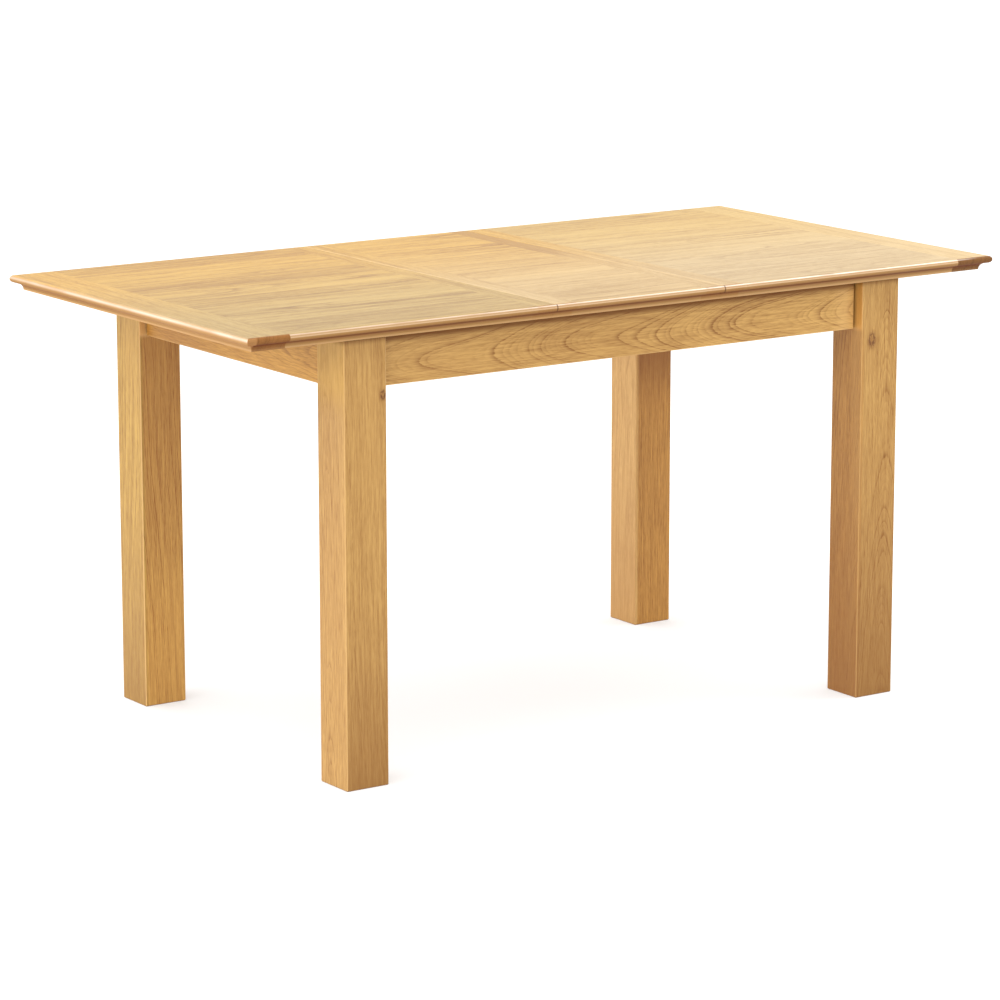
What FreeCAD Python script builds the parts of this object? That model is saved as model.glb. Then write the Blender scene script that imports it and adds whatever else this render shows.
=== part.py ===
"""Extending dining table in solid oak: a fixed frame, two sliding top halves and a loose centre leaf.

Millimetres, +Z up, +X along the table, -Y to the front. The origin is on the floor under the middle
of the table. The table stands as it is used at full length, with the leaf in place.
"""

import FreeCAD, Part  # noqa: E401
import math
import os
import re
import Sketcher

SIZES = {
    # Top
    "table_height": 780,
    "half_length": 600,
    "leaf_opening": 350,
    "seam_clearance": 0.25,
    "seam_chamfer": 0.8,
    "top_width": 800,
    "top_thickness": 25,
    "nose_radius": 6.5,
    "cove_radius": 11,
    "end_rail_width": 80,
    "stile_width": 40,
    "tongue_length": 10,
    "tongue_thickness": 8,
    "tongue_clearance": 0.2,
    "groove_stop": 40,
    # Stave widths of each panel from rear to front; together they fill the top's width in these proportions
    "left_stave_1": 130,
    "left_stave_2": 98,
    "left_stave_3": 92,
    "left_stave_4": 100,
    "left_stave_5": 146,
    "left_stave_6": 114,
    "left_stave_7": 120,
    "leaf_stave_1": 88,
    "leaf_stave_2": 75,
    "leaf_stave_3": 135,
    "leaf_stave_4": 97,
    "leaf_stave_5": 106,
    "leaf_stave_6": 139,
    "leaf_stave_7": 160,
    "right_stave_1": 100,
    "right_stave_2": 95,
    "right_stave_3": 96,
    "right_stave_4": 94,
    "right_stave_5": 130,
    "right_stave_6": 160,
    "right_stave_7": 125,
    # Frame
    "frame_length": 1160,
    "frame_width": 750,
    "frame_clearance": 2,
    "leg_size": 82,
    "leg_rounding": 2.5,
    "leg_flat": 14,
    "foot_chamfer": 1.5,
    "apron_height": 84,
    "apron_thickness": 22,
    "long_apron_setback": 19,
    "short_apron_setback": 13,
    "reveal_width": 5,
    "reveal_depth": 10,
    # Corner blocks and their fasteners
    "block_thickness": 25,
    "block_height": 60,
    "bolt_diameter": 8,
    "bolt_depth": 45,
    "bolt_spacing": 34,
    "bolt_tail": 4,
    "bore_clearance": 0.1,
    "washer_diameter": 20,
    "washer_thickness": 1.6,
    "nut_flats": 13,
    "nut_height": 6.5,
    "screw_diameter": 4.5,
    "screw_head_diameter": 8,
    "screw_head_height": 3,
    "block_screw_seat": 5,
    "block_screw_bite": 14,
    "block_screw_inset": 14,
    "block_screw_spacing": 34,
    # Slide rails, bearers, runners and pegs
    "rail_width": 40,
    "rail_height": 60,
    # Rail to rail, and long apron to rail: they fill the frame's inside width in these proportions
    "rail_spacing": 340,
    "rail_inset": 164,
    "rail_housing": 6,
    "rail_groove_depth": 10,
    "rail_groove_height": 12,
    "rail_groove_drop": 30,
    "bearer_width": 60,
    "bearer_height": 24,
    "bearer_spacing": 520,
    "bearer_housing": 8,
    "bearer_screw_seat": 16,
    "bearer_screw_bite": 22,
    "runner_width": 28,
    "runner_height": 50,
    "runner_length": 800,
    "runner_clearance": 1,
    "runner_relief": 1,
    "slide_clearance": 0.3,
    "top_travel": 30,
    "stop_clearance": 0.5,
    "runner_screw_first": 25,
    "runner_screw_pitch": 120,
    "runner_screw_seat": 20,
    "runner_screw_bite": 15,
    "peg_diameter": 10,
    "peg_depth": 12,
    "peg_drop": 14,
    "peg_spacing": 200,
}

# Places worked out from the sizes, in the words of the sizes above
UNDERSIDE = "(table_height - top_thickness)"
FRAME_TOP = f"({UNDERSIDE} - frame_clearance)"
APRON_BOTTOM = f"({FRAME_TOP} - apron_height)"
MOULDING = "(nose_radius + cove_radius)"
COVE_FOOT = "(top_thickness - 2*nose_radius - cove_radius)"
LONG_FACE = "(leg_size - long_apron_setback - apron_thickness)"
SHORT_FACE = "(leg_size - short_apron_setback - apron_thickness)"
INSIDE_LENGTH = "(frame_length/2 - short_apron_setback - apron_thickness)"
INSIDE_WIDTH = "(frame_width/2 - long_apron_setback - apron_thickness)"
RAIL_Y = f"({INSIDE_WIDTH}*rail_spacing/(rail_spacing + 2*rail_inset))"
BLOCK_REACH = "(block_thickness*sqrt(2) - leg_flat)"
BEARER_TOP = f"({UNDERSIDE} - rail_height)"
RUNNER_END = f"({INSIDE_LENGTH} - top_travel - stop_clearance)"
LEAF_HALF = "(leaf_opening/2 - seam_clearance)"

STAVES = 7
RUNNER_SCREWS = 3
OUTSIDE = 1.0  # how far a cutting outline stands clear of the wood it cuts

doc = FreeCAD.newDocument("extending_table")
sheet = doc.addObject("Spreadsheet::Sheet", "Sizes")
for row, (alias, size) in enumerate(SIZES.items(), start=1):
    sheet.set(f"A{row}", alias)
    sheet.set(f"B{row}", str(size))
    sheet.setAlias(f"B{row}", alias)
doc.recompute()

nodes = []


def bound(text):
    """An expression in the sheet's own words, with each word pointed at its cell."""
    return re.sub(r"[a-z]\w*", lambda word: f"Sizes.{word[0]}" if word[0] in SIZES else word[0], str(text))


def value(text):
    return float(sheet.evalExpression(bound(text)))


def bind(item, **sizes):
    for name, text in sizes.items():
        item.setExpression(name, bound(text))
    return item


def place(item, x, y, z, rotation=None):
    item.Placement = FreeCAD.Placement(FreeCAD.Vector(), rotation or FreeCAD.Rotation())
    for axis, text in zip("xyz", (x, y, z)):
        item.setExpression(f"Placement.Base.{axis}", bound(text))
    return item


def about_z(quarters):
    """A rotation about Z by a number of quarter turns."""
    return FreeCAD.Rotation(FreeCAD.Vector(0, 0, 1), 90 * quarters)


def along(quarters):
    """The rotation that lays a turned piece's axis level, pointing that many quarter turns from +X."""
    angle = quarters * math.pi / 2
    return FreeCAD.Rotation(FreeCAD.Vector(0, 0, 1), FreeCAD.Vector(math.cos(angle), math.sin(angle), 0))


def turned(quarters, x, y):
    """A level place in words, turned about Z by a number of quarter turns."""
    for _ in range(quarters):
        x, y = f"-({y})", x
    return x, y


def node(item, label):
    item.Label = label
    nodes.append(item)
    return item


# Sketched pieces


def new_body(name):
    return doc.addObject("PartDesign::Body", name)


def plane(body, role):
    return next(item for item in body.Origin.OriginFeatures if item.Role == role)


def outline(body, role, *loops, lift="0"):
    """A sketch of closed loops. Each loop is a list of corners (x, y), or (x, y, radius, sense) where an
    arc leads to the next corner: sense is 1 for a counter-clockwise arc and -1 for a clockwise one."""
    sketch = body.newObject("Sketcher::SketchObject", "Sketch")
    sketch.AttachmentSupport = [(plane(body, role), "")]
    sketch.MapMode = "FlatFace"
    sketch.setExpression("AttachmentOffset.Base.z", bound(lift))
    for corners in loops:
        add_loop(sketch, corners)
    return sketch


def add_loop(sketch, corners):
    points = [FreeCAD.Vector(value(corner[0]), value(corner[1]), 0) for corner in corners]
    first = sketch.GeometryCount
    ends = []
    for index, corner in enumerate(corners):
        here, there = points[index], points[(index + 1) % len(points)]
        if len(corner) == 2:
            sketch.addGeometry(Part.LineSegment(here, there), False)
            ends.append((1, 2))
        else:
            sketch.addGeometry(arc_between(here, there, value(corner[2]), corner[3]), False)
            ends.append((1, 2) if corner[3] > 0 else (2, 1))
    for index, corner in enumerate(corners):
        edge, (start, end) = first + index, ends[index]
        after = (index + 1) % len(corners)
        sketch.addConstraint(Sketcher.Constraint("Coincident", edge, end, first + after, ends[after][0]))
        hold(sketch, ("DistanceX", -1, 1, edge, start), corner[0])
        hold(sketch, ("DistanceY", -1, 1, edge, start), corner[1])
        if len(corner) > 2:
            hold(sketch, ("Radius", edge), corner[2])


def arc_between(here, there, radius, sense):
    middle, across = (here + there) / 2, there - here
    rise = math.sqrt(max(radius**2 - across.Length**2 / 4, 0))
    side = FreeCAD.Vector(-across.y, across.x, 0).normalize() * sense
    centre = middle + side * rise
    angles = [math.atan2(point.y - centre.y, point.x - centre.x) for point in (here, there)]
    if sense < 0:
        angles.reverse()
    return Part.ArcOfCircle(Part.Circle(centre, FreeCAD.Vector(0, 0, 1), radius), *angles)


def hold(sketch, kind, text):
    number = sketch.addConstraint(Sketcher.Constraint(*kind, value(text)))
    sketch.setExpression(f"Constraints[{number}]", bound(text))


def box_loop(x0, x1, y0, y1):
    return [(x0, y0), (x1, y0), (x1, y1), (x0, y1)]


def pad(body, sketch, length, both_ways=False):
    feature = body.newObject("PartDesign::Pad", "Pad")
    feature.Profile = sketch
    feature.Midplane = both_ways
    bind(feature, Length=length)
    return feature


def pocket(body, sketch, depth, forwards=False):
    """A cut to a depth, against the sketch's normal unless it goes forwards."""
    feature = body.newObject("PartDesign::Pocket", "Pocket")
    feature.Profile = sketch
    feature.Reversed = forwards
    bind(feature, Length=depth)
    return feature


def cut_through(body, sketch):
    feature = body.newObject("PartDesign::Pocket", "Pocket")
    feature.Profile = sketch
    feature.Type = "ThroughAll"
    feature.Midplane = True
    return feature


# Turned pieces and their bores


def turned_piece(name, steps, x, y, z, rotation=None):
    """Cylinders fused along one axis. Each step is (diameter, start, length) along that axis."""
    cylinders = []
    for diameter, start, length in steps:
        cylinder = doc.addObject("Part::Cylinder", f"{name}_step")
        bind(cylinder, Radius=f"({diameter})/2", Height=length)
        cylinder.setExpression("Placement.Base.z", bound(start))
        cylinders.append(cylinder)
    if len(cylinders) == 1:
        return place(cylinders[0], *shifted(x, y, z, steps[0][1], rotation), rotation)
    piece = doc.addObject("Part::MultiFuse", name)
    piece.Shapes = cylinders
    return place(piece, x, y, z, rotation)


def shifted(x, y, z, start, rotation):
    """The place of a single cylinder that starts part of the way along its axis."""
    axis = (rotation or FreeCAD.Rotation()).multVec(FreeCAD.Vector(0, 0, 1))
    return [f"{base} + ({start})*({share:.9f})" for base, share in zip((x, y, z), axis)]


def group(label, pieces):
    compound = doc.addObject("Part::Compound", label)
    compound.Links = pieces
    return compound


def bored(label, blank, tools):
    """A blank with bores cut by a list of turned tools."""
    cut = doc.addObject("Part::Cut", label)
    cut.Base = blank
    cut.Tool = tools[0] if len(tools) == 1 else group(f"{label}_bores", tools)
    return node(cut, label)


def screw(name, seat, bite, x, y, z, rotation=None):
    """A screw whose head sits under its origin by the seat's thickness and whose point bites past it."""
    steps = [
        ("screw_diameter", f"-({seat})", f"{seat} + {bite}"),
        ("screw_head_diameter", f"-({seat}) - screw_head_height", "screw_head_height"),
    ]
    return turned_piece(name, steps, x, y, z, rotation)


def screw_bore(name, seat, bite, way_in, x, y, z, rotation=None):
    """The bore for such a screw, with its counterbore open for a length behind the head's seat."""
    steps = [
        ("screw_diameter + 2*bore_clearance", f"-({seat})", f"{seat} + {bite} + bore_clearance"),
        ("screw_head_diameter + 2*bore_clearance", f"-({seat}) - ({way_in})", way_in),
    ]
    return turned_piece(f"{name}_bore", steps, x, y, z, rotation)


# Top: end rails, seam stiles and staves


def moulding_corners(edge, sense):
    """The moulded edge from its foot up to the top surface, at a distance along an axis: a cove under
    a rounded nose. A sense of -1 faces it the other way."""
    side = "" if sense > 0 else "-"
    return [
        (f"{side}({edge} - {MOULDING})", COVE_FOOT, "cove_radius", -sense),
        (f"{side}({edge} - nose_radius)", "top_thickness - 2*nose_radius", "nose_radius", sense),
        (f"{side}({edge})", "top_thickness - nose_radius", "nose_radius", sense),
        (f"{side}({edge} - nose_radius)", "top_thickness"),
    ]


def moulding_waste(edge, sense):
    """The wood that the moulding cutter takes off, with its outline closed outside the board."""
    side = "" if sense > 0 else "-"
    foot, nose = f"{side}({edge} - {MOULDING})", f"{side}({edge} - nose_radius)"
    outer, above = f"{side}({edge} + {OUTSIDE})", f"top_thickness + {OUTSIDE}"
    return [
        (foot, f"-{OUTSIDE}"),
        *moulding_corners(edge, sense),
        (nose, above),
        (outer, above),
        (outer, f"-{OUTSIDE}"),
    ]


def crosspiece(label, width, moulded, x, quarters):
    """A board across the grain of the staves: its groove takes their tongues, its ends are moulded."""
    body = new_body(label)
    if moulded:
        outer_edge = [(f"{width} - {MOULDING}", "0"), *moulding_corners(width, 1)]
    else:
        outer_edge = [
            (width, "0"),
            (width, "top_thickness - seam_chamfer"),
            (f"{width} - seam_chamfer", "top_thickness"),
        ]
    pad(body, outline(body, "XZ_Plane", [("0", "0"), *outer_edge, ("0", "top_thickness")]), "top_width", True)
    ends = [moulding_waste("top_width/2", sense) for sense in (1, -1)]
    cut_through(body, outline(body, "YZ_Plane", *ends))
    reach = "(top_width/2 - groove_stop)"
    half_groove = "(tongue_thickness/2 + tongue_clearance)"
    mouth = box_loop(
        f"-{reach}", reach, f"top_thickness/2 - {half_groove}", f"top_thickness/2 + {half_groove}"
    )
    pocket(body, outline(body, "YZ_Plane", mouth), "tongue_length + tongue_clearance", forwards=True)
    place(body, x, "0", UNDERSIDE, about_z(quarters))
    return node(body, label)


def stave_board(name, panel, number, length, x):
    """One lengthwise board with a tongue at each end. The outer ones carry the moulded long edges."""
    widths = [f"{panel}_stave_{each}" for each in range(1, STAVES + 1)]
    share = f"top_width/({' + '.join(widths)})"
    before = f"({' + '.join(['0'] + widths[: number - 1])})*{share}"
    width = f"({widths[number - 1]}*{share})"
    rear, front = number == 1, number == STAVES
    body = new_body(name)
    pad(body, outline(body, "XZ_Plane", box_loop("0", length, "0", "top_thickness")), width)
    tongue = box_loop(
        "-tongue_length",
        f"{length} + tongue_length",
        "(top_thickness - tongue_thickness)/2",
        "(top_thickness + tongue_thickness)/2",
    )
    held_back = "(groove_stop + tongue_clearance)"
    tongue_sketch = outline(body, "XZ_Plane", tongue, lift=held_back if rear else "0")
    pad(body, tongue_sketch, f"{width} - {held_back}" if rear or front else width)
    if rear:
        cut_through(body, outline(body, "YZ_Plane", moulding_waste("0", 1)))
    if front:
        cut_through(body, outline(body, "YZ_Plane", moulding_waste(width, -1)))
    return place(body, x, f"top_width/2 - {before}", UNDERSIDE)


def staves(panel, length, x, tools):
    for number in range(1, STAVES + 1):
        label = f"{panel}_stave_{number}"
        bored(label, stave_board(f"{label}_board", panel, number, length, x), tools)


# Slide: runners under the halves


def runner_board(name, outer_x, face_y, side, quarters):
    """A runner with a tongue along one side. Its top is fixed under the half, and from the seam inwards
    it is planed down a little, to pass freely under the leaf and the other half."""
    half_tongue = "(rail_groove_height/2 - slide_clearance)"
    low, high = f"-rail_groove_drop - {half_tongue}", f"-rail_groove_drop + {half_tongue}"
    body = new_body(name)
    section = [
        ("0", "0"),
        ("-runner_width", "0"),
        ("-runner_width", "-runner_height"),
        ("0", "-runner_height"),
        ("0", low),
        ("rail_groove_depth", low),
        ("rail_groove_depth", high),
        ("0", high),
    ]
    pad(body, outline(body, "YZ_Plane", section), "runner_length")
    fixed = f"({RUNNER_END} - leaf_opening/2)"
    starts_outside = (side < 0) == (quarters == 0)
    if starts_outside:
        planed = (fixed, f"runner_length + {OUTSIDE}")
    else:
        planed = (f"-{OUTSIDE}", f"runner_length - {fixed}")
    cut_through(body, outline(body, "XZ_Plane", box_loop(*planed, "-runner_relief", f"{OUTSIDE}")))
    start = outer_x if starts_outside else f"{outer_x} - {side}*runner_length"
    return place(body, start, face_y, UNDERSIDE, about_z(quarters))


def runners(half, side):
    """Both runners of one half, and their screws. The left half's run outside the rails, the right
    half's inside, so that they pass each other when the table is closed."""
    outward = 1 if half == "left" else -1
    screws, bores = [], []
    for place_name, across in (("front", -1), ("rear", 1)):
        face = f"{across}*({RAIL_Y} + {outward}*(rail_width/2 + runner_clearance))"
        centre = f"{across}*({RAIL_Y} + {outward}*(rail_width/2 + runner_clearance + runner_width/2))"
        quarters = 0 if across * outward < 0 else 2
        name = f"{half}_runner_{place_name}"
        own_bores = []
        for number in range(RUNNER_SCREWS):
            along_x = f"{side}*({RUNNER_END} - runner_screw_first - {number}*runner_screw_pitch)"
            spot = (along_x, centre, UNDERSIDE)
            seat, bite = "runner_screw_seat", "runner_screw_bite"
            screws.append(screw(f"{name}_screw", seat, bite, *spot))
            way_in = f"runner_height - runner_screw_seat + {OUTSIDE}"
            own_bores.append(screw_bore(f"{name}_screw", seat, bite, way_in, *spot))
        bored(name, runner_board(f"{name}_board", f"{side}*{RUNNER_END}", face, side, quarters), own_bores)
        bores += own_bores
    node(group(f"{half}_runner_screws", screws), f"{half}_runner_screws")
    return bores


def top_half(half, side):
    shoulder = "(leaf_opening/2 + stile_width)"
    stave_length = "(half_length - end_rail_width - stile_width)"
    outer = "(leaf_opening/2 + half_length - end_rail_width)"
    crosspiece(f"{half}_end_rail", "end_rail_width", True, f"{side}*{outer}", 0 if side > 0 else 2)
    crosspiece(f"{half}_seam_stile", "stile_width", False, f"{side}*{shoulder}", 2 if side > 0 else 0)
    bores = runners(half, side)
    staves(half, stave_length, shoulder if side > 0 else f"-{outer}", bores)


def leaf():
    shoulder = f"({LEAF_HALF} - stile_width)"
    for name, side, quarters in (("left", -1, 2), ("right", 1, 0)):
        crosspiece(f"leaf_{name}_stile", "stile_width", False, f"{side}*{shoulder}", quarters)
    pegs = pegs_at("peg", "peg_diameter", "peg_depth", "peg_drop", (1, -1))
    bores = pegs_at("peg_bore", "peg_diameter + 2*bore_clearance", "peg_depth", "peg_drop", (1, -1))
    node(group("leaf_pegs", pegs), "leaf_pegs")
    staves("leaf", f"2*{shoulder}", f"-{shoulder}", bores)


def pegs_at(name, diameter, depth, drop, rails):
    """Upright dowels over the slide rails, or the bores for them."""
    steps = [(diameter, f"-({drop})", f"{drop} + {depth}")]
    return [
        turned_piece(name, steps, f"{end}*peg_spacing/2", f"{across}*{RAIL_Y}", UNDERSIDE)
        for end in (-1, 1)
        for across in rails
    ]


# Frame: legs, corner blocks and aprons

# In the order of their quarter turns from the front left corner
CORNERS = ("front_left", "front_right", "rear_right", "rear_left")


def corner_place(corner, along_x="0", along_y="0"):
    """A place measured from a leg's inner corner, along the corner's own two ways into the frame."""
    x, y = turned(CORNERS.index(corner), along_x, along_y)
    side_x = 1 if "right" in corner else -1
    side_y = 1 if "rear" in corner else -1
    return f"{side_x}*(frame_length/2 - leg_size) + {x}", f"{side_y}*(frame_width/2 - leg_size) + {y}"


def bolt_heights():
    middle = f"({APRON_BOTTOM} + apron_height/2)"
    return [f"{middle} - bolt_spacing/2", f"{middle} + bolt_spacing/2"]


def on_bolt_axes(corner, name, steps):
    """Turned pieces on a corner's two bolt axes, measured inwards from the flat on the leg."""
    flat = "-leg_flat/2"
    x, y = corner_place(corner, flat, flat)
    rotation = along(CORNERS.index(corner) + 0.5)
    return [turned_piece(name, steps, x, y, height, rotation) for height in bolt_heights()]


def leg(corner):
    label = f"leg_{corner}"
    body = new_body(f"{label}_blank")
    square = pad(body, outline(body, "XY_Plane", box_loop("-leg_size", "0", "-leg_size", "0")), FRAME_TOP)
    doc.recompute()
    upright = [
        f"Edge{number}"
        for number, edge in enumerate(square.Shape.Edges, start=1)
        if abs(edge.Vertexes[0].Z - edge.Vertexes[-1].Z) > value("leg_size")
    ]
    rounding = body.newObject("PartDesign::Fillet", "Rounding")
    rounding.Base = (square, upright)
    bind(rounding, Radius="leg_rounding")
    doc.recompute()
    sole = min(enumerate(rounding.Shape.Faces, start=1), key=lambda face: face[1].CenterOfMass.z)[0]
    chamfer = body.newObject("PartDesign::Chamfer", "Foot")
    chamfer.Base = (rounding, [f"Face{sole}"])
    bind(chamfer, Size="foot_chamfer")
    flat = [
        ("-leg_flat", "0"),
        ("0", "-leg_flat"),
        (f"{OUTSIDE}", "-leg_flat"),
        (f"{OUTSIDE}", f"{OUTSIDE}"),
        ("-leg_flat", f"{OUTSIDE}"),
    ]
    pocket(body, outline(body, "XY_Plane", flat, lift=FRAME_TOP), "apron_height")
    place(body, *corner_place(corner), "0", about_z(CORNERS.index(corner)))
    steps = [
        ("bolt_diameter + 2*bore_clearance", "-bolt_depth - bore_clearance", f"bolt_depth + {OUTSIDE}")
    ]
    bored(label, body, on_bolt_axes(corner, f"{label}_bore", steps))


def block_faces(corner):
    """How far the two apron faces lie behind a leg's inner corner, along the corner's own two ways."""
    return (SHORT_FACE, LONG_FACE) if CORNERS.index(corner) % 2 == 0 else (LONG_FACE, SHORT_FACE)


def block_screw_places(corner):
    """Where a corner block's screws pass into the aprons: place, height and direction."""
    face_x, face_y = block_faces(corner)
    quarters = CORNERS.index(corner)
    middle = f"({APRON_BOTTOM} + apron_height/2)"
    spots = []
    for rise in (-1, 1):
        height = f"{middle} + {rise}*block_screw_spacing/2"
        from_x = corner_place(corner, f"{face_y} + {BLOCK_REACH} - block_screw_inset", f"-{face_y}")
        from_y = corner_place(corner, f"-{face_x}", f"{face_x} + {BLOCK_REACH} - block_screw_inset")
        spots.append((*from_x, height, along(quarters - 1)))
        spots.append((*from_y, height, along(quarters + 2)))
    return spots


def corner_block(corner):
    """A diagonal block across the corner, flat against the leg and both aprons."""
    label = f"corner_block_{corner}"
    face_x, face_y = block_faces(corner)
    body = new_body(f"{label}_blank")
    plan = [
        (f"{face_y} - leg_flat", f"-{face_y}"),
        (f"{face_y} + {BLOCK_REACH}", f"-{face_y}"),
        (f"-{face_x}", f"{face_x} + {BLOCK_REACH}"),
        (f"-{face_x}", f"{face_x} - leg_flat"),
    ]
    pad(body, outline(body, "XY_Plane", plan), "block_height")
    base = f"{APRON_BOTTOM} + (apron_height - block_height)/2"
    place(body, *corner_place(corner), base, about_z(CORNERS.index(corner)))
    hole = [("bolt_diameter + 2*bore_clearance", f"-{OUTSIDE}", f"block_thickness + {2 * OUTSIDE}")]
    bolt_bores = on_bolt_axes(corner, f"{label}_bolt_bore", hole)
    screws, bores = [], []
    for spot in block_screw_places(corner):
        seat, bite = "block_screw_seat", "block_screw_bite"
        screws.append(screw(f"{label}_screw", seat, bite, *spot))
        bores.append(screw_bore(f"{label}_screw", seat, bite, "block_thickness", *spot))
    bored(label, body, bolt_bores + bores)
    return screws, bores


def hanger_bolts(corner):
    """A corner's bolts, washers and nuts, from the leg out to the nuts on the block's inner face."""
    length = "bolt_depth + block_thickness + washer_thickness + nut_height + bolt_tail"
    bolts = on_bolt_axes(corner, "bolt", [("bolt_diameter", "-bolt_depth", length)])
    hole = [("bolt_diameter + 2*bore_clearance", "block_thickness", "washer_thickness + nut_height")]
    disc = [("washer_diameter", "block_thickness", "washer_thickness")]
    washers, nuts = [], []
    x, y = corner_place(corner, "-leg_flat/2", "-leg_flat/2")
    rotation = along(CORNERS.index(corner) + 0.5)
    for height, plate, washer_hole, nut_hole in zip(
        bolt_heights(),
        on_bolt_axes(corner, "washer_disc", disc),
        on_bolt_axes(corner, "washer_hole", hole),
        on_bolt_axes(corner, "nut_hole", hole),
    ):
        hexagon = doc.addObject("Part::Prism", "nut_hexagon")
        hexagon.Polygon = 6
        bind(hexagon, Circumradius="nut_flats/sqrt(3)", Height="nut_height")
        place(hexagon, *shifted(x, y, height, "block_thickness + washer_thickness", rotation), rotation)
        for rings, ring, hole_tool in ((washers, plate, washer_hole), (nuts, hexagon, nut_hole)):
            cut = doc.addObject("Part::Cut", "ring")
            cut.Base = ring
            cut.Tool = hole_tool
            rings.append(cut)
    return bolts, washers, nuts


def apron(label, length, bores, x, y, quarters, housings, housing_depth, upwards):
    """An apron board with a stepped reveal at each end and housings on its inner face."""
    body = new_body(f"{label}_board")
    end, shoulder = f"({length})/2", f"(({length})/2 - reveal_width)"
    plan = [
        (f"-{shoulder}", "0"),
        (shoulder, "0"),
        (shoulder, "reveal_depth"),
        (end, "reveal_depth"),
        (end, "apron_thickness"),
        (f"-{end}", "apron_thickness"),
        (f"-{end}", "reveal_depth"),
        (f"-{shoulder}", "reveal_depth"),
    ]
    pad(body, outline(body, "XY_Plane", plan), "apron_height")
    lift = "0" if upwards else "apron_height"
    pocket(body, outline(body, "XY_Plane", *housings, lift=lift), housing_depth, forwards=upwards)
    place(body, x, y, APRON_BOTTOM, about_z(quarters))
    bored(label, body, bores)


def aprons(bores):
    back = f"apron_thickness + {OUTSIDE}"
    bearer_housings = [
        box_loop(
            f"{side}*bearer_spacing/2 - bearer_width/2",
            f"{side}*bearer_spacing/2 + bearer_width/2",
            "apron_thickness - bearer_housing",
            back,
        )
        for side in (-1, 1)
    ]
    rail_housings = [
        box_loop(
            f"{side}*{RAIL_Y} - rail_width/2",
            f"{side}*{RAIL_Y} + rail_width/2",
            "apron_thickness - rail_housing",
            back,
        )
        for side in (-1, 1)
    ]
    long_length, short_length = "frame_length - 2*leg_size", "frame_width - 2*leg_size"
    long_y, short_x = "(frame_width/2 - long_apron_setback)", "(frame_length/2 - short_apron_setback)"
    bearer_cut, rail_cut = f"{BEARER_TOP} - {APRON_BOTTOM}", "rail_height - frame_clearance"
    apron("apron_front", long_length, bores, "0", f"-{long_y}", 0, bearer_housings, bearer_cut, True)
    apron("apron_rear", long_length, bores, "0", long_y, 2, bearer_housings, bearer_cut, True)
    apron("apron_left", short_length, bores, f"-{short_x}", "0", 3, rail_housings, rail_cut, False)
    apron("apron_right", short_length, bores, short_x, "0", 1, rail_housings, rail_cut, False)


# Frame: bearers and slide rails


def bearers_and_rails():
    screws, bores = [], []
    for end in (-1, 1):
        for across in (-1, 1):
            spot = (f"{end}*bearer_spacing/2", f"{across}*{RAIL_Y}", BEARER_TOP)
            seat, bite = "bearer_screw_seat", "bearer_screw_bite"
            screws.append(screw("rail_screw", seat, bite, *spot))
            bores.append(screw_bore("rail_screw", seat, bite, "bearer_height", *spot))
    node(group("rail_screws", screws), "rail_screws")
    for name, end in (("left", -1), ("right", 1)):
        blank = doc.addObject("Part::Box", f"cross_bearer_{name}_blank")
        half_reach = f"({INSIDE_WIDTH} + bearer_housing)"
        bind(blank, Length="bearer_width", Width=f"2*{half_reach}", Height="bearer_height")
        left_face = f"{end}*bearer_spacing/2 - bearer_width/2"
        place(blank, left_face, f"-{half_reach}", f"{BEARER_TOP} - bearer_height")
        bored(f"cross_bearer_{name}", blank, bores)
    for name, across in (("front", -1), ("rear", 1)):
        peg_bores = pegs_at(
            "rail_peg_bore", "peg_diameter + 2*bore_clearance", "peg_depth", f"peg_drop + {OUTSIDE}", (across,)
        )
        bored(f"slide_rail_{name}", rail_board(f"slide_rail_{name}_board", across), bores + peg_bores)


def rail_board(name, across):
    """A slide rail with a groove along each side, housed at its ends in the short aprons."""
    side, floor = "(rail_width/2)", "(rail_width/2 - rail_groove_depth)"
    low = "-rail_groove_drop - rail_groove_height/2"
    high = "-rail_groove_drop + rail_groove_height/2"
    right = [(side, "-rail_height"), (side, low), (floor, low), (floor, high), (side, high), (side, "0")]
    left = [(f"-{x}", z) for x, z in reversed(right)]
    body = new_body(name)
    pad(body, outline(body, "YZ_Plane", right + left), f"2*({INSIDE_LENGTH} + rail_housing)", True)
    return place(body, "0", f"{across}*{RAIL_Y}", UNDERSIDE)


# Assembly

block_screws, block_bores = [], []
bolts, washers, nuts = [], [], []
for corner_name in CORNERS:
    leg(corner_name)
    own_screws, own_bores = corner_block(corner_name)
    block_screws += own_screws
    block_bores += own_bores
    for gathered, own in zip((bolts, washers, nuts), hanger_bolts(corner_name)):
        gathered += own
node(group("corner_block_screws", block_screws), "corner_block_screws")
node(group("hanger_bolts", bolts), "hanger_bolts")
node(group("bolt_washers", washers), "bolt_washers")
node(group("bolt_nuts", nuts), "bolt_nuts")
aprons(block_bores)
bearers_and_rails()
top_half("left", -1)
top_half("right", 1)
leaf()
doc.recompute()

failed = [item.Name for item in doc.Objects if {"Invalid", "Error"} & set(item.State)]
if failed:
    raise RuntimeError(f"failed: {failed}")
for item in nodes:
    if item.Shape.isNull() or not item.Shape.isValid() or not item.Shape.Solids:
        raise RuntimeError(f"bad shape: {item.Label}")

os.makedirs("parts", exist_ok=True)
for item in nodes:
    item.Shape.exportStep(f"parts/{item.Label}.step")
print(f"{len(nodes)} nodes written")
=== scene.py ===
import math

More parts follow.
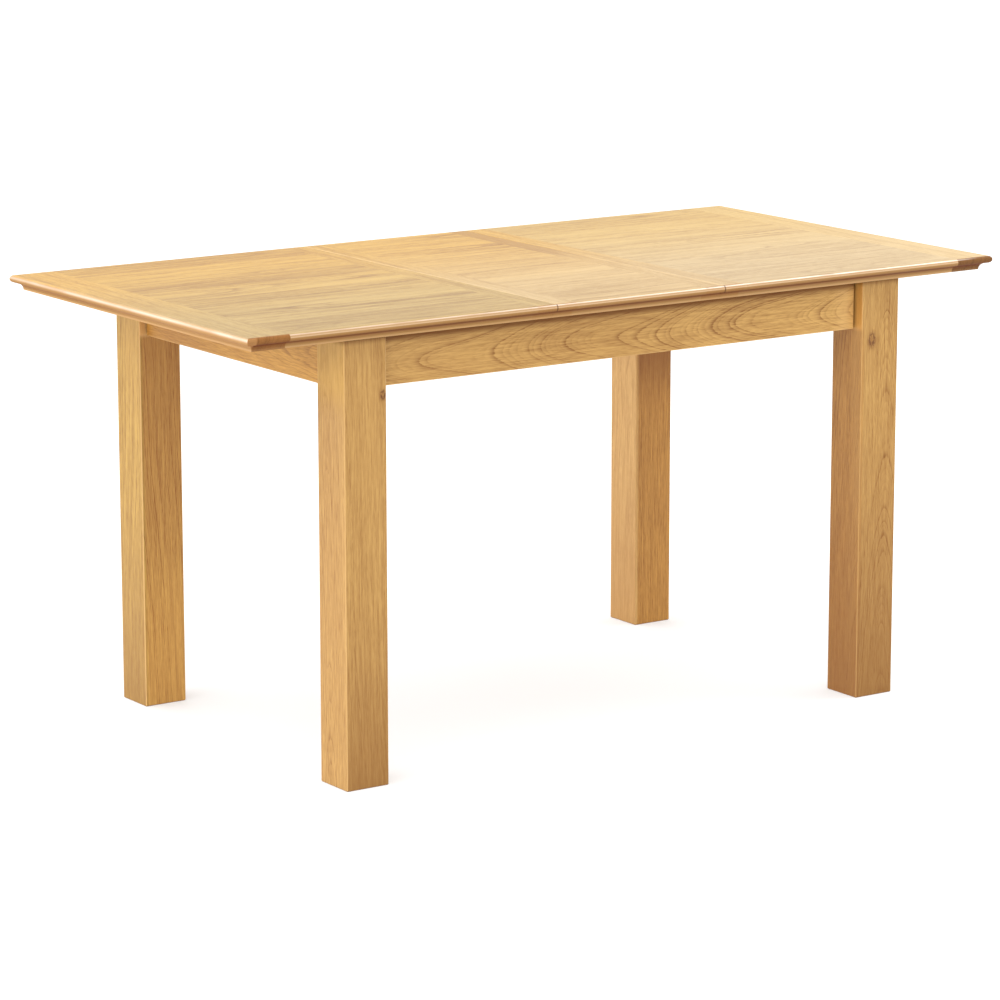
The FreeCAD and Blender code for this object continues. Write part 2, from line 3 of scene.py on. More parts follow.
import bpy
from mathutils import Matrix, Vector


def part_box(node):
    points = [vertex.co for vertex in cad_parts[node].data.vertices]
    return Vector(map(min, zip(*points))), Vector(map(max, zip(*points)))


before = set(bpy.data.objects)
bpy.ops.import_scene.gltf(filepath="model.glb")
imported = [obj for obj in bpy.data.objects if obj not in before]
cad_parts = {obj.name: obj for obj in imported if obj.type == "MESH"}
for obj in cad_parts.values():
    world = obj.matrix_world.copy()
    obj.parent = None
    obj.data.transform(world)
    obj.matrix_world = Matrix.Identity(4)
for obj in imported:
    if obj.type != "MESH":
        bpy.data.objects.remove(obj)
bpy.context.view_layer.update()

# The four legs: square oak posts glued up from thick stock and planed, with satin lacquer over a light
# honey stain. The heart lies off to one side, so one pair of faces shows arches and the other straight
# grain. Two hanger bolts draw each leg into its corner block.


class Wire:
    """A node's output in a material. Sums of wires and numbers add their own Math nodes."""

    def __init__(self, tree, socket=None):
        self.tree = tree
        self.socket = socket

    def add(self, kind, settings, sockets, out=0):
        """A new node: its settings are set first, then the values or links of its sockets."""
        node = self.tree.nodes.new(kind)
        for name, setting in settings.items():
            setattr(node, name, setting)
        for name, value in sockets.items():
            if isinstance(value, Wire):
                self.tree.links.new(value.socket, node.inputs[name])
            else:
                node.inputs[name].default_value = value
        return None if out is None else Wire(self.tree, node.outputs[out])

    def maths(self, operation, *values, clamp=False):
        settings = {"operation": operation, "use_clamp": clamp}
        return self.add("ShaderNodeMath", settings, dict(enumerate(values)))

    def __add__(self, other):
        return self.maths("ADD", self, other)

    def __sub__(self, other):
        return self.maths("SUBTRACT", self, other)

    def __rsub__(self, other):
        return self.maths("SUBTRACT", other, self)

    def __mul__(self, other):
        return self.maths("MULTIPLY", self, other)

    def __truediv__(self, other):
        return self.maths("DIVIDE", self, other)

    def __pow__(self, other):
        return self.maths("POWER", self, other)

    def __abs__(self):
        return self.maths("ABSOLUTE", self)

    __radd__ = __add__
    __rmul__ = __mul__

    def limited(self):
        return self.maths("ADD", self, 0.0, clamp=True)

    def rise(self, low, high):
        """0 below low, 1 above high and a smooth step between them."""
        span = {"Value": self, "From Min": low, "From Max": high}
        return self.add("ShaderNodeMapRange", {"interpolation_type": "SMOOTHSTEP"}, span)

    def hump(self, middle, width):
        """1 at the middle, falling off smoothly to both sides."""
        return self.maths("EXPONENT", 0.0 - ((self - middle) / width) ** 2.0)

    def noise(self, place, detail, roughness=0.5, out="Fac"):
        sockets = {"Vector": place, "Scale": 1.0, "Detail": detail, "Roughness": roughness}
        return self.add("ShaderNodeTexNoise", {"noise_dimensions": "3D"}, sockets, out)

    def blend(self, share, first, second):
        return self.add("ShaderNodeMix", {"data_type": "RGBA"}, {0: share, 6: first, 7: second}, out=2)


def tint(red, green, blue):
    """A colour named by its display values, as the shader's linear light."""
    return (*(((v / 255 + 0.055) / 1.055) ** 2.4 for v in (red, green, blue)), 1.0)


class Timber(Wire):
    """A board's own material: places are measured along the grain, across it and through its thickness."""

    def __init__(self, name, grain, seed):
        self.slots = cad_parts[name].data.materials
        self.material = bpy.data.materials.new(name)
        self.material.use_nodes = True
        super().__init__(self.material.node_tree)
        self.tree.nodes.clear()
        self.seed = seed
        order = {"x": "XYZ", "y": "YXZ", "z": "ZXY"}[grain]
        low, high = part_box(name)
        middle, half = (low + high) / 2, (high - low) / 2
        here = self.add("ShaderNodeTexCoord", {}, {}, "Object")
        facing = self.add("ShaderNodeTexCoord", {}, {}, "Normal")
        place, self.normal = self.apart(here), self.apart(facing)
        self.along, self.across, self.depth = (place[a] - middle["XYZ".index(a)] for a in order)
        self.half_along, self.half_across, self.half_depth = (half["XYZ".index(a)] for a in order)
        self.end_grain = abs(self.normal[order[0]]).rise(0.10, 0.42)
        wood = {"X": self.along, "Y": self.across, "Z": self.depth}
        self.place = self.add("ShaderNodeCombineXYZ", {}, wood)

    def apart(self, vector):
        split = self.add("ShaderNodeSeparateXYZ", {}, {"Vector": vector}).socket.node
        return {axis: Wire(self.tree, split.outputs[axis]) for axis in "XYZ"}

    def streaks(self, along, across, detail=2.0, roughness=0.5, shift=0.0, out="Fac"):
        """Noise drawn out along the grain; the two scales are features per metre."""
        offset = (self.seed * 7.31 + shift, self.seed * 3.17 - shift, self.seed * 5.73)
        sockets = {0: self.place, 1: (along, across, across), 2: offset}
        stretched = self.add("ShaderNodeVectorMath", {"operation": "MULTIPLY_ADD"}, sockets)
        return self.noise(stretched, detail, roughness, out)

    def from_edge(self):
        """How far a point lies in from the nearest long edge."""
        return self.maths("MAXIMUM", self.half_across - abs(self.across), self.half_depth - abs(self.depth))

    def finish(self, height, depth, sockets):
        """Joins the height and the shader's sockets, and puts the material on its piece."""
        bump = self.add("ShaderNodeBump", {}, {"Height": height, "Distance": depth, "Strength": 1.0})
        shader = self.add("ShaderNodeBsdfPrincipled", {}, {**sockets, "Normal": bump})
        self.add("ShaderNodeOutputMaterial", {}, {"Surface": shader}, out=None)
        self.slots.clear()
        self.slots.append(self.material)


LACQUER = {"Coat Weight": 0.06, "Coat Roughness": 0.22, "Specular IOR Level": 0.28}
WANDERING = 2.4, 9.0
FINE_LINES = 16.0, 380.0
PORES = 70.0, 680.0
RIPPLE = 24.0, 60.0
CLOUDS = 1.5, 11.0
DARK_YEARS = 3.2, 58.0
TORN_FIBRE = 110.0, 200.0
KNOT_BARK = tint(92, 44, 12)
WORN_EDGE_AND_HIGHLIGHT = tint(222, 180, 120)
PAINTED_RIM_SHADE = tint(104, 56, 12)
PAINTED_REVEAL_SHADE = tint(116, 38, 1)
BROWN_ENDS = tint(150, 104, 56), tint(104, 64, 28)


def oak(name, grain, heart, tone, seed, lean=0.0, sway=(0.0, 0.35, 0.0), figure=0.5, edge=0.0, knots=(),
        cheek=None, tone_and_light_fades=(), shade_under_top=None, darker=0.0, front_sheen_tone=None, mould=None, end_tone=None,
        ring_width=0.0018, taper=0.0, bands=0.0, reveal=0.0):
    """Lacquered oak. heart is where the log's middle lies from the board's, across and through; lean is how
    fast it draws away along the grain, and sway how far it wanders, over what length and from what turn.
    figure is how strongly the year rings show, edge how strongly the long edges are made pale, partly wear
    and partly a painted highlight, and darker how much darker the board is than its fellows. knots lie along
    and across, each with its size.
    cheek is the tone of a lamination on the left face, with its strength and the height where it ends.
    deeper lists fades along the grain: how strong, from where, to where, on which face (X the left, Y the
    front, None all round), and to what tone if not the board's dark one; some change the wood's tone and
    some are painted shade or painted light. shelter is how strongly painted shade is laid close under the
    top, from which height to which.
    front_sheen_tone is what the tone fades to at the front of the table, partly the wood's tone and partly a
    painted sheen. mould finishes the moulded edges with painted shade and highlights, and end_tone is the
    end grain's own. ring_width is one year's growth, taper how fast the log narrows, bands how strongly runs
    of dark years show on a broad face, and reveal the width of a step at each end darkened with painted
    shade."""
    wood = Timber(name, grain, seed)
    rest = wood.apart(wood.add("ShaderNodeTexCoord", {}, {}, "Object"))
    wander = wood.apart(wood.streaks(*WANDERING, 1.0, shift=1.7, out="Color"))
    bend = wood.maths("SINE", wood.along * (math.tau / sway[1]) + sway[2])
    nearer = wood.along * lean + bend * sway[0] + (wander["Y"] - 0.5) * 0.006
    for along, side, size in knots:
        near = ((wood.along - along) ** 2.0 * 0.30 + (wood.across - side) ** 2.0) / size**2
        nearer = nearer + wood.maths("EXPONENT", 0.0 - near) * size * 1.2
    share = 1 + nearer / math.hypot(*heart)
    across = wood.across - share * heart[0] + (wander["X"] - 0.5) * 0.014
    through = wood.depth - share * heart[1]
    lines = wood.streaks(*FINE_LINES, 1.0, 0.6)
    pores = wood.streaks(*PORES, 1.0, shift=4.1)
    ripple = wood.streaks(*RIPPLE, 1.0, shift=7.7)
    radius = (across * across + through * through) ** 0.5
    grown = radius + wood.along * taper
    uneven = wood.noise(wood.add("ShaderNodeCombineXYZ", {}, {"X": grown * 110.0, "Y": seed * 1.9}), 1.0)
    years = (grown + (ripple - 0.5) * 0.0014 + (pores - 0.5) * 0.0010 + (uneven - 0.5) * 0.009) / ring_width
    ring = wood.maths("FRACT", years)
    year = {"W": wood.maths("FLOOR", years) + seed}
    strong = wood.add("ShaderNodeTexWhiteNoise", {"noise_dimensions": "1D"}, year)
    spring = (1 - ring) ** 2.0 * ring.rise(0.0, 0.15) * (0.15 + 1.25 * strong ** 2.0)
    slow = wood.streaks(*CLOUDS, 2.0, shift=9.3)
    rings = spring * (0.75 + 0.45 * pores.rise(0.36, 0.66)) + (uneven - 0.5) * 0.7 - 0.15
    dark = rings * figure + (lines - 0.5) * 1.1 + (pores - 0.5) * 0.6 + 0.36 + darker
    if bands:
        dark = dark + (wood.streaks(*DARK_YEARS, 3.0, 0.6, shift=2.9) - 0.5) * bands
    dark = dark.limited()
    late, early, flush = tone
    # The fade to the front tone is partly the wood's tone and partly a painted sheen on the front of the
    # top.
    if front_sheen_tone:
        fade = rest["Y"].rise(0.34, -0.30)
        late, early, flush = (wood.blend(fade, own, other) for own, other in zip(tone, front_sheen_tone))
    if cheek:
        lamination = (1 - (wood.across + wood.half_across).rise(0.002, 0.008)) * cheek[1]
        lamination = lamination * (1 - rest["Z"].rise(cheek[2], cheek[2] + 0.008))
        late, early = (wood.blend(lamination, own, other) for own, other in zip((late, early), cheek[0]))
    colour = wood.blend(dark, late, early)
    colour = wood.blend(slow.rise(0.42, 0.78) * 0.4, colour, flush)
    # Fades along the grain: some change the wood's tone, and some are painted shade or painted light.
    for strength, start, stop, facing, *other in tone_and_light_fades:
        face = (0.0 - wood.normal[facing]).rise(0.4, 0.8) if facing else 1.0
        colour = wood.blend(wood.along.rise(start, stop) * face * strength, colour, *(other or [early]))
    for along, side, size in knots:
        away = ((wood.along - along) ** 2.0 * 0.4 + (wood.across - side) ** 2.0) ** 0.5 / size
        torn = wood.streaks(*TORN_FIBRE, 2.0, shift=5.5)
        away = away + (torn - 0.5) * 1.8
        bark = away.hump(0.80, 0.3125) * torn.rise(0.32, 0.55)
        colour = wood.blend((1 - away.rise(0.5, 2.2)) * 0.45, colour, early)
        colour = wood.blend(bark * 0.85, colour, KNOT_BARK)
    # Pale long edges: partly wear, partly a painted highlight along the arris.
    if edge:
        rubbed_highlight = 1 - wood.from_edge().rise(0.0004, 0.0026)
        colour = wood.blend(rubbed_highlight * edge, colour, WORN_EDGE_AND_HIGHLIGHT)
    roughness = 0.32 + 0.12 * pores + 0.08 * lines + 0.10 * wood.end_grain
    # Painted shade close under the top's overhang, with a duller surface there.
    if shade_under_top:
        under_top_shade = rest["Z"].rise(*shade_under_top[1:]) * shade_under_top[0]
        colour = wood.blend(under_top_shade, colour, PAINTED_RIM_SHADE)
        roughness = roughness + under_top_shade * 0.4
    # Painted shade in the step at each end, beside the leg.
    if reveal:
        inside = wood.half_along - reveal
        stepped = abs(wood.along).rise(inside - 0.001, inside)
        colour = wood.blend(stepped * 0.85, colour, PAINTED_REVEAL_SHADE)
    cut_rings = (spring * 0.5 + uneven * 0.5 + (pores - 0.5) * 0.8).limited()
    cut_ends = wood.blend(cut_rings, *(end_tone or BROWN_ENDS))
    colour = wood.blend(wood.end_grain * 0.9, colour, cut_ends)
    if mould:
        colour, moulded = mould(wood, rest, colour, end_tone)
        roughness = roughness + moulded * 0.4
    height = 0.0 - spring * figure * 0.6 - pores - lines * 0.5
    wood.finish(height, 0.00007, {"Base Color": colour, "Roughness": roughness, **LACQUER})


HONEY = tint(190, 147, 81), tint(126, 76, 18), tint(194, 152, 88)
AMBER = tint(200, 153, 78), tint(134, 77, 24), tint(204, 157, 84)
LEMON = tint(190, 152, 75), tint(128, 85, 27)
UMBER = tint(174, 118, 46), tint(116, 66, 18)
BLUSH = tint(212, 172, 110), tint(172, 126, 68)
TAWNY = tint(196, 143, 68), tint(127, 73, 20), tint(200, 146, 73)
# Painted shade close under the top on the legs: how strong, and the heights it rises between.
UNDER_RIM = 0.55, 0.743, 0.7535
# Front left leg: darker towards the foot on the front face, and painted light on the upper left face where
# the top's overhang shades it.
FRONT_LEFT_TONE_AND_LIGHT = (0.55, -0.02, -0.42, "Y"), (0.30, 0.24, 0.31, "X", tint(226, 176, 66))
# Front right leg: darker towards the foot all round, and painted light on the strip of the left face beside
# the apron, which lies in shade.
FRONT_RIGHT_TONE_AND_LIGHT = (0.6, 0.20, -0.42, None), (0.55, 0.286, 0.296, "X", tint(214, 156, 80))
# Rear right leg: painted shade on the upper front face below the front apron, and darker towards the foot on
# the left face.
REAR_RIGHT_SHADE_AND_TONE = (0.80, 0.02, 0.19, "Y"), (0.50, 0.05, -0.38, "X")
# Rear left leg: darker towards the foot on the left face, darker towards the top and lighter towards the
# foot on the front face, and painted light on the strip of the front face beside the apron, which lies in
# shade.
REAR_LEFT_TONE_AND_LIGHT = (
    (0.50, 0.12, -0.42, "X"),
    (0.30, -0.25, 0.28, "Y"),
    (0.15, -0.05, -0.25, "Y", tint(226, 168, 84)),
    (0.75, 0.286, 0.296, "Y", tint(228, 180, 116)),
)
oak("leg_front_left", "z", (-0.075, 0.012), HONEY, 3, 0.05, (0.003, 0.62, 3.0), 0.4, 0.6,
    knots=[(0.282, 0.034, 0.005)], cheek=(BLUSH, 0.06, 0.8), tone_and_light_fades=FRONT_LEFT_TONE_AND_LIGHT, shade_under_top=UNDER_RIM)
oak("leg_front_right", "z", (0.016, -0.064), HONEY, 11, 0.0, (0.003, 0.45, 1.0), 0.6, 0.4,
    knots=[(0.272, -0.018, 0.0075)], cheek=(UMBER, 0.6, 0.666), tone_and_light_fades=FRONT_RIGHT_TONE_AND_LIGHT,
    shade_under_top=UNDER_RIM, ring_width=0.0024, taper=0.13)
oak("leg_rear_right", "z", (-0.18, -0.03), TAWNY, 23, 0.01, (0.002, 0.80, 0.0), 0.4, 0.4,
    cheek=(BLUSH, 0.75, 0.8), tone_and_light_fades=REAR_RIGHT_SHADE_AND_TONE, shade_under_top=UNDER_RIM)
oak("leg_rear_left", "z", (-0.055, -0.060), AMBER, 37, 0.0, (0.003, 0.55, 0.7), 0.85, 0.9,
    cheek=(LEMON, 0.9, 0.8), tone_and_light_fades=REAR_LEFT_TONE_AND_LIGHT, ring_width=0.0034, taper=0.07)

# The four aprons: flat-sawn oak rails between the legs and set back from them, with nested arches on their
# broad faces. Painted shade darkens the stepped reveal at each end of the long ones. The corner blocks hold
# them.
WHEAT = tint(204, 160, 90), tint(136, 88, 35), tint(208, 164, 96)
SUNNY = tint(212, 158, 70), tint(148, 94, 30), tint(214, 162, 76)
REVEAL = 0.004
APRON_YEAR = 0.0027
# Front apron: darker towards its left end, and painted light near its right end, lifting the shade there.
FRONT_APRON_TONE_AND_LIGHT = (0.13, 0.35, 0.0, None), (0.35, 0.44, 0.48, None, tint(228, 182, 116))
LEFT_APRON_FADING = ((0.42, -0.08, 0.2, None),)
# Painted shade close under the top on the aprons: how strong, and the heights it rises between.
UNDER_LONG_EDGE = 0.88, 0.735, 0.749
UNDER_END = 0.45, 0.738, 0.752
oak("apron_front", "x", (0.024, -0.008), WHEAT, 5, 0.0, (0.0040, 0.34, 0.4), 0.8, 0.3,
    tone_and_light_fades=FRONT_APRON_TONE_AND_LIGHT, shade_under_top=UNDER_LONG_EDGE, ring_width=APRON_YEAR, taper=-0.17, reveal=REVEAL)
oak("apron_rear", "x", (-0.024, 0.008), WHEAT, 9, 0.0, (0.0040, 0.40, 2.0), 0.8, 0.3,
    shade_under_top=UNDER_LONG_EDGE, ring_width=APRON_YEAR, taper=0.17, reveal=REVEAL)
oak("apron_left", "y", (0.024, 0.008), SUNNY, 13, 0.0, (0.0040, 0.36, 1.0), 0.5, 0.3,
    tone_and_light_fades=LEFT_APRON_FADING, shade_under_top=UNDER_END, ring_width=APRON_YEAR, taper=0.15)
oak("apron_right", "y", (-0.024, -0.006), SUNNY, 17, 0.0, (0.0040, 0.36, 3.0), 0.7, 0.3,
    shade_under_top=UNDER_END, ring_width=APRON_YEAR, taper=-0.15)

# The corner blocks, cross bearers and slide rails: planed beech under the top, unstained and waxed, even
# and pinkish with short dark flecks. The blocks are screwed to the aprons, the bearers are housed in the
# long aprons, and the rails lie on the bearers, screwed from below.
ROSY = tint(206, 164, 122), tint(176, 130, 90)
FLECK = tint(138, 92, 58)
RUBBED_BEECH = tint(224, 190, 152)
BEECH_ENDS = tint(160, 114, 76)
WAX = {"Coat Weight": 0.05, "Coat Roughness": 0.22, "Specular IOR Level": 0.28}


def beech(name, grain, seed):
    wood = Timber(name, grain, seed)
    fleck = wood.streaks(160.0, 1100.0, 1.0, shift=2.2).rise(0.60, 0.74)
    lines = wood.streaks(5.0, 130.0, 2.0)
    slow = wood.streaks(1.2, 9.0, 1.0, shift=6.6)
    worn = (1 - wood.from_edge().rise(0.0003, 0.0020)) * (0.3 + 0.7 * lines)
    colour = wood.blend((lines * 0.7 + slow * 0.5 - 0.2).limited(), *ROSY)
    colour = wood.blend(fleck * 0.55, colour, FLECK)
    colour = wood.blend(worn * 0.5, colour, RUBBED_BEECH)
    colour = wood.blend(wood.end_grain * 0.7, colour, BEECH_ENDS)
    roughness = 0.44 + 0.14 * lines + 0.10 * fleck - 0.08 * worn
    wood.finish(lines * 0.5 - fleck * 0.4, 0.00008, {"Base Color": colour, "Roughness": roughness, **WAX})


for number, corner in enumerate(("front_left", "front_right", "rear_right", "rear_left")):
    beech(f"corner_block_{corner}", "y", 41 + number)
for number, side in enumerate(("left", "right")):
    beech(f"cross_bearer_{side}", "y", 47 + number)
for number, side in enumerate(("front", "rear")):
    beech(f"slide_rail_{side}", "x", 51 + number)

# The screws, hanger bolts, washers and nuts: turned and pressed mild steel with a bright zinc plate, which
# shows fine scratches, a cloudy bluish bloom and rubbed corners. They hold the blocks, legs, rails and
# runners.
ZINC = tint(206, 208, 210), tint(176, 182, 190)
RUBBED_ZINC = tint(228, 228, 226)
FASTENERS = ("corner_block_screws", "hanger_bolts", "bolt_washers", "bolt_nuts", "rail_screws")
for number, name in enumerate(FASTENERS + ("left_runner_screws", "right_runner_screws")):
    plate = Timber(name, "x", 61 + number)
    bloom = plate.streaks(190.0, 190.0, 2.0)
    scratches = plate.streaks(900.0, 3600.0, 1.0, shift=3.4)
    corner = plate.add("ShaderNodeNewGeometry", {}, {}, "Pointiness").rise(0.51, 0.60)
    colour = plate.blend(bloom.rise(0.35, 0.7), *ZINC)
    colour = plate.blend(corner * 0.7, colour, RUBBED_ZINC)
    roughness = 0.26 + 0.16 * bloom + 0.1 * scratches
    plate.finish(scratches, 0.00002, {"Base Color": colour, "Metallic": 1.0, "Roughness": roughness})

# The two sliding halves of the top: seven oak staves glued edge to edge between a moulded end rail and a
# seam stile, tongued into both. A nosing and cove are run round the outside, and the end rails' end grain
# shows dark at the corners. Beech runners screwed underneath ride in the slide rails' grooves.
GOLD = tint(184, 144, 62), tint(130, 86, 26), tint(188, 150, 70)
BUTTER = tint(193, 151, 64), tint(136, 90, 27), tint(196, 156, 72)
STRAW = tint(184, 154, 90), tint(138, 102, 50), tint(188, 160, 98)
MAIZE = tint(181, 149, 82), tint(134, 97, 44), tint(185, 155, 90)
CREAM = tint(180, 152, 104), tint(139, 107, 61), tint(184, 158, 112)
BISCUIT = tint(175, 148, 102), tint(138, 106, 64), tint(180, 155, 110)
SAND = tint(178, 154, 112), tint(136, 108, 70), tint(182, 160, 120)
KHAKI = tint(170, 142, 84), tint(126, 94, 46), tint(174, 148, 92)
PALE = tint(186, 160, 112), tint(148, 118, 74), tint(190, 166, 120)
LEFT_ENDS = tint(146, 92, 42), tint(98, 55, 16)
RIGHT_ENDS = tint(118, 70, 26), tint(72, 39, 8)
NOSE_TAN = tint(162, 118, 66)
PAINTED_FOOT_LIGHT = tint(226, 180, 124)
PAINTED_END_LIGHT = tint(224, 172, 112)
PAINTED_COVE_SHADE = tint(98, 44, 6)
PAINTED_END_COVE_SHADE = tint(140, 74, 22)
PAINTED_NOSE_SHEEN = tint(200, 170, 140)
PAINTED_SEAM_HIGHLIGHT = tint(236, 214, 172)
PAINTED_CREST_HIGHLIGHT = tint(252, 242, 230)
PAINTED_BEAD_HIGHLIGHT = tint(236, 206, 168)
PAINTED_SHOULDER_HIGHLIGHT = tint(248, 228, 212)
DARK_NICK = tint(76, 44, 20)
TOP_YEAR = 0.0032
HALF_WIDTH = 0.400
HALF_LENGTH = 0.775
SEAM = 0.175
UNDERSIDE = 0.755


def top_edges(wood, rest, colour, end_tone):
    """A tan nose with a painted highlight on its crest and bead, a painted sheen on its upper part, painted
    shade in the cove under it and painted light on its foot and at the front of the left end; a painted
    highlight on the left end's shoulder too; and at the two seams a fine painted highlight on the arris with
    a dark nick."""
    inset = wood.maths("MINIMUM", HALF_WIDTH - abs(rest["Y"]), HALF_LENGTH - abs(rest["X"]))
    height = rest["Z"] - UNDERSIDE
    outside = (1 - inset.rise(0.0170, 0.0190)) * (1 - height.rise(0.0232, 0.0244))
    cove_shade = height.hump(0.0106, 0.0036)
    foot = 1 - height.rise(0.0006, 0.0050)
    # Noise that breaks up the painted highlights on the crest and shoulder.
    rubbed_highlight = wood.streaks(14.0, 40.0, 2.0, shift=8.8).rise(0.25, 0.65)
    # A painted highlight along the crest, broken by noise and stronger towards the right.
    crest = height.rise(0.0216, 0.0236) * (1 - inset.rise(0.0018, 0.0038)) * (0.5 + 0.5 * rubbed_highlight)
    crest = crest * (0.4 + 0.6 * rest["X"].rise(-0.6, 0.4))
    upper = height.rise(0.0180, 0.0206) * (1 - inset.rise(0.0030, 0.0050))
    # A painted highlight in a fine line on the nose just below the crest.
    bead = height.hump(0.0194, 0.0009) * (1 - inset.rise(0.0010, 0.0030))
    from_end = HALF_LENGTH - abs(rest["X"])
    long_edge = from_end.rise(0.004, 0.012)
    end = 1 - from_end.rise(0.016, 0.020)
    frontward = rest["Y"].rise(0.30, -0.25)
    right_half = rest["X"].rise(0.0, 0.2)
    # A painted highlight on the left end's shoulder, not on the right end.
    shoulder = height.hump(0.0212, 0.0024) * (1 - long_edge) * (1 - right_half)
    shoulder = shoulder * (0.6 + 0.4 * rubbed_highlight) * (0.8 + 0.2 * frontward)
    beside = abs(abs(rest["X"]) - SEAM)
    # A painted highlight on the arris beside each seam, weaker on the right seam and gone at its rear.
    arris = (1 - beside.rise(0.0006, 0.0018)) * height.rise(0.0234, 0.0242)
    arris = arris * (1 - rest["X"].rise(0.0, 0.1) * (0.4 + 0.6 * rest["Y"].rise(-0.05, 0.10)))
    nick = (1 - beside.rise(0.0008, 0.0016)) * (1 - inset.rise(0.004, 0.007))
    side = 1 - wood.end_grain if end_tone else 1.0
    kept = wood.maths("MAXIMUM", side, from_end.rise(0.03, 0.09) * right_half)
    colour = wood.blend(outside * side * 0.85, colour, NOSE_TAN)
    # Painted light on the lower edge of the cove.
    colour = wood.blend(outside * foot * (0.2 + 0.4 * side), colour, PAINTED_FOOT_LIGHT)
    # Painted light on the left end's moulding towards the front.
    lit_end_front = outside * end * frontward * (1 - right_half)
    colour = wood.blend(lit_end_front * 0.2, colour, PAINTED_END_LIGHT)
    # Painted shade in the cove under the nose, along the long edges and at the ends.
    colour = wood.blend(outside * cove_shade * (1 - end) * 0.92, colour, PAINTED_COVE_SHADE)
    colour = wood.blend(outside * cove_shade * end * (0.65 - 0.38 * frontward), colour, PAINTED_END_COVE_SHADE)
    # A painted sheen on the upper nose.
    colour = wood.blend(upper * long_edge * side * 0.28, colour, PAINTED_NOSE_SHEEN)
    colour = wood.blend(arris * 0.4, colour, PAINTED_SEAM_HIGHLIGHT)
    colour = wood.blend(crest * long_edge * kept * 0.9, colour, PAINTED_CREST_HIGHLIGHT)
    colour = wood.blend(bead * long_edge * side * 0.45, colour, PAINTED_BEAD_HIGHLIGHT)
    colour = wood.blend(shoulder * side * 0.56, colour, PAINTED_SHOULDER_HIGHLIGHT)
    return wood.blend(nick * 0.7, colour, DARK_NICK), outside


# Each panel's staves fade from a rear tone to a paler, greyer front tone: partly the wood's tone, partly a
# painted sheen.
PANELS = {
    "left": (GOLD, KHAKI, 1.7, (0.02, -0.06, 0.20, -0.06, 0.06, -0.02, 0.05)),
    "leaf": (GOLD, CREAM, 1.25, (0.02, -0.04, 0.03, -0.04, 0.02, -0.02, 0.03)),
    "right": (MAIZE, SAND, 0.6, (0.06, 0.02, -0.03, 0.02, -0.04, 0.00, 0.03)),
}


def panel_staves(panel, seed):
    rear, front, bands, shades = PANELS[panel]
    for number, shade in enumerate(shades, 1):
        own = seed + number * 5
        heart = 0.05 * math.sin(own * 1.7), -0.07 - 0.025 * math.sin(own * 2.9)
        lean = 0.03 * math.sin(own * 0.9)
        mould = top_edges if number in (1, 7) else None
        oak(f"{panel}_stave_{number}", "x", heart, rear, own, lean, (0.002, 0.5, own), 0.8, darker=shade,
            front_sheen_tone=front, mould=mould, ring_width=TOP_YEAR, bands=bands)


def crosspiece(name, heart, rear, front, seed, ends=None, tone_and_light_fades=()):
    oak(name, "y", heart, rear, seed, 0.02, (0.002, 0.6, seed), 0.6, tone_and_light_fades=tone_and_light_fades, front_sheen_tone=front,
        mould=top_edges, end_tone=ends, ring_width=TOP_YEAR, bands=0.75)


# The end rails and stiles fade to their front tones in the same way, partly a painted sheen.
HALVES = (
    ("left", 100, (BUTTER, KHAKI), LEFT_ENDS, (GOLD, KHAKI)),
    ("right", 200, (STRAW, PALE), RIGHT_ENDS, (GOLD, BISCUIT)),
)
for half, seed, rail, ends, stile in HALVES:
    panel_staves(half, seed)
    crosspiece(f"{half}_end_rail", (0.12, -0.05), *rail, seed + 51, ends)
    crosspiece(f"{half}_seam_stile", (-0.14, -0.04), *stile, seed + 57)
    for number, side in enumerate(("front", "rear")):
        beech(f"{half}_runner_{side}", "x", seed + 61 + number)

# The loose leaf: seven staves between two stiles, made as the halves are but moulded on its two long edges
# only. Beech pegs glued into its underside drop into the slide rails.
REAR_FADING = ((0.55, -0.06, 0.10, None),)
panel_staves("leaf", 300)
crosspiece("leaf_left_stile", (0.15, -0.05), GOLD, CREAM, 351)
crosspiece("leaf_right_stile", (0.10, -0.04), GOLD, CREAM, 357, tone_and_light_fades=REAR_FADING)
beech("leaf_pegs", "z", 363)

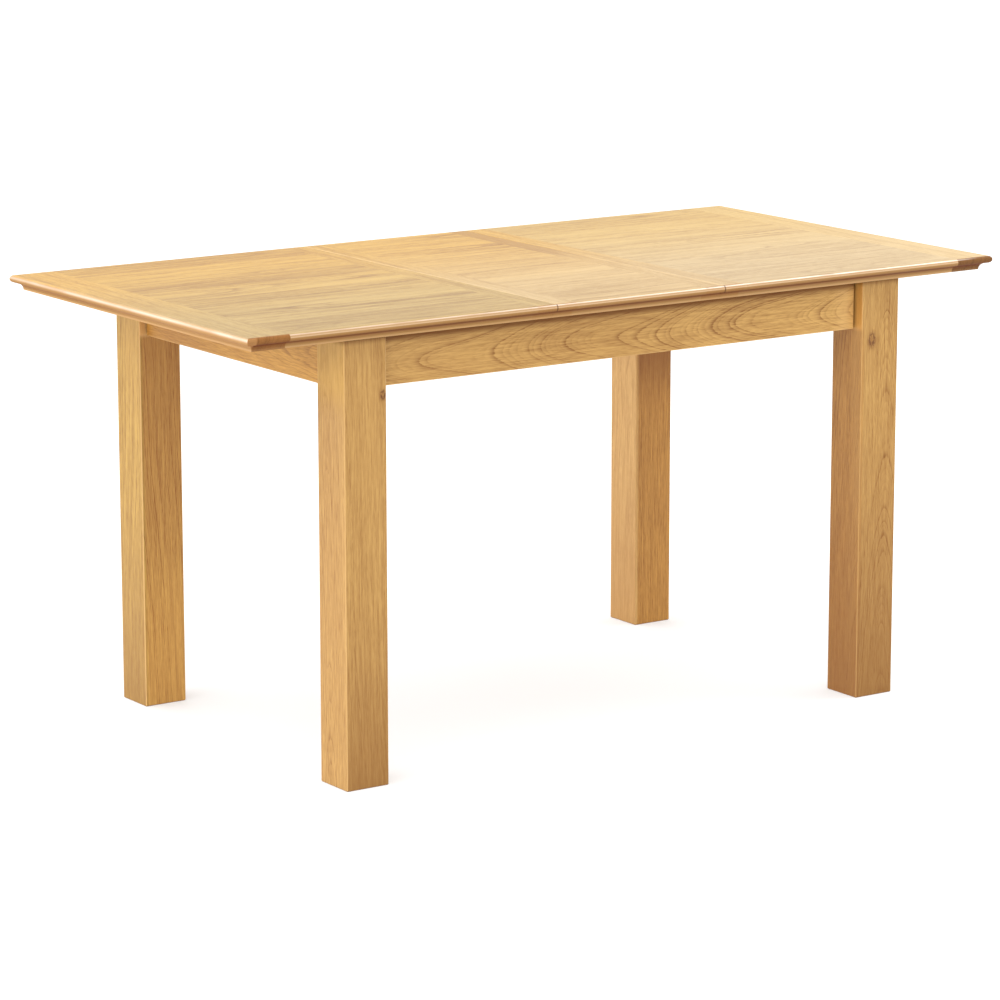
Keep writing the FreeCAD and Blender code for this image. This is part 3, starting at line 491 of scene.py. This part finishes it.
# The studio: a broad white floor that glows a little from below as a light table does, even white light all
# round, a wide soft light from above and behind the left end, and a small soft box high at the right that
# draws a line along the front moulding.
FLOOR_PAINT = {
    "Base Color": (0.48, 0.48, 0.48, 1.0),
    "Roughness": 0.9,
    "Specular IOR Level": 0.1,
    "Emission Color": (1.0, 1.0, 1.0, 1.0),
    "Emission Strength": 0.47,
}
ROOM_LIGHT = {"Color": (1.0, 1.0, 1.0, 1.0), "Strength": 0.95}
REACH = 45.0
floor_mesh = bpy.data.meshes.new("floor")
corners = [(-REACH, -REACH, 0), (REACH, -REACH, 0), (REACH, REACH, 0), (-REACH, REACH, 0)]
floor_mesh.from_pydata(corners, [], [(0, 1, 2, 3)])
floor = bpy.data.objects.new("floor", floor_mesh)
bpy.context.scene.collection.objects.link(floor)
paint = bpy.data.materials.new("floor_paint")
paint.use_nodes = True
for socket, value in FLOOR_PAINT.items():
    paint.node_tree.nodes["Principled BSDF"].inputs[socket].default_value = value
floor_mesh.materials.append(paint)

room = bpy.data.worlds.new("room")
room.use_nodes = True
for socket, value in ROOM_LIGHT.items():
    room.node_tree.nodes["Background"].inputs[socket].default_value = value
bpy.context.scene.world = room


def hang(name, light, place, way):
    holder = bpy.data.objects.new(name, light)
    holder.location = place
    holder.rotation_euler = Vector(way).to_track_quat("-Z", "Y").to_euler()
    bpy.context.scene.collection.objects.link(holder)


soft_box = bpy.data.lights.new("right_above", "AREA")
soft_box.shape = "RECTANGLE"
soft_box.size = 1.4
soft_box.size_y = 1.4
soft_box.energy = 40.0
hang("right_above", soft_box, (1.9, -0.7, 3.1), (-1.9, 0.7, -2.32))
sky = bpy.data.lights.new("sky", "SUN")
sky.energy = 3.3
sky.angle = math.radians(110.0)
hang("sky", sky, (0.0, 0.0, 0.0), (0.62, -0.20, -1.0))

# The camera stands where the photograph was taken, off the left front corner and a little above eye level.
view = bpy.data.cameras.new("camera")
view.sensor_width = 36.0
view.lens = 148.481
stand = bpy.data.objects.new("camera", view)
stand.location = (-4.0757, -5.9204, 1.8809)
stand.rotation_euler = tuple(math.radians(turn) for turn in (78.033, 0.036, -34.436))
bpy.context.scene.collection.objects.link(stand)
bpy.context.scene.camera = stand
bpy.context.scene.view_settings.view_transform = "Standard"
